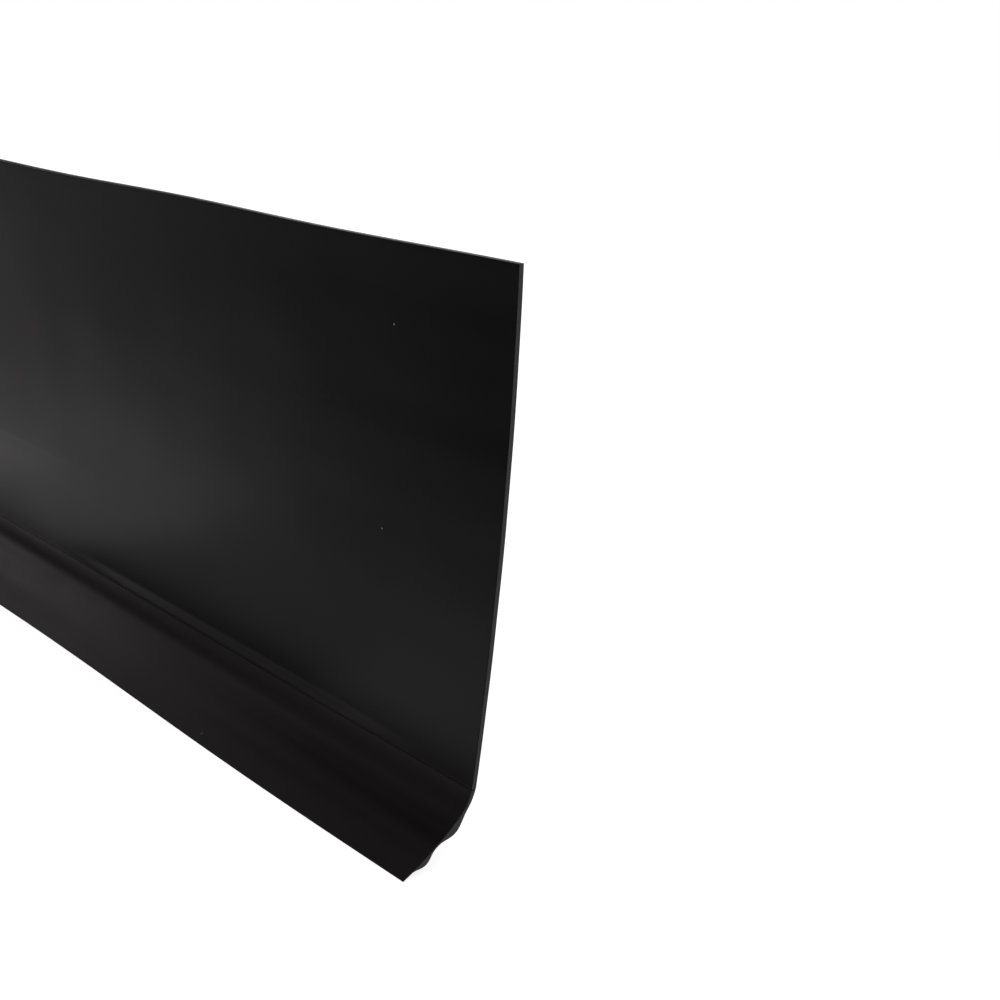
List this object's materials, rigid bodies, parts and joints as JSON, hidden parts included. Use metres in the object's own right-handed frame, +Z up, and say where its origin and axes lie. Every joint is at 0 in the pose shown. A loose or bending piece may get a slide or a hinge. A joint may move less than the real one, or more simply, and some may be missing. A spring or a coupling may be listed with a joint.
{
  "type": "kick plate strip",
  "caption": "Flexible coved PVC kick plate strip: a bowed panel with a springy ribbed toe lip, bonded by tape along the foot of a wall, door or plinth.",
  "frame": {"origin": "on the floor, under the middle of the strip's length and of its front-to-back depth, with the tape liners on", "axes": "+X along the strip, +Y towards the wall or door that it is bonded to, +Z up; the toe points to -Y"},
  "size_m": [0.6, 0.0176, 0.1],
  "materials": {
    "panel_pvc": "satin",
    "lip_pvc": "satin",
    "foam_tape": "matte",
    "liner_paper": "satin"
  },
  "bodies": {
    "panel": {"wall_panel": "panel_pvc", "upper_tape": "foam_tape", "lower_tape": "foam_tape"},
    "lip": {"toe_lip": "lip_pvc"},
    "upper_liner": {"upper_release_liner": "liner_paper"},
    "lower_liner": {"lower_release_liner": "liner_paper"}
  },
  "joints": [
    {"name": "toe_flex", "type": "hinge", "parent": "panel", "child": "lip", "pos_m": [0, 0.00568, 0.01319], "axis": [-1, 0, 0], "range_deg": [0, 20], "stiffness_Nm_per_rad": 0.25},
    {"name": "upper_liner_peel", "type": "slide", "parent": "panel", "child": "upper_liner", "axis": [0, 1, 0], "range_m": [0, 0.03]},
    {"name": "lower_liner_peel", "type": "slide", "parent": "panel", "child": "lower_liner", "axis": [0, 1, 0], "range_m": [0, 0.03]}
  ]
}
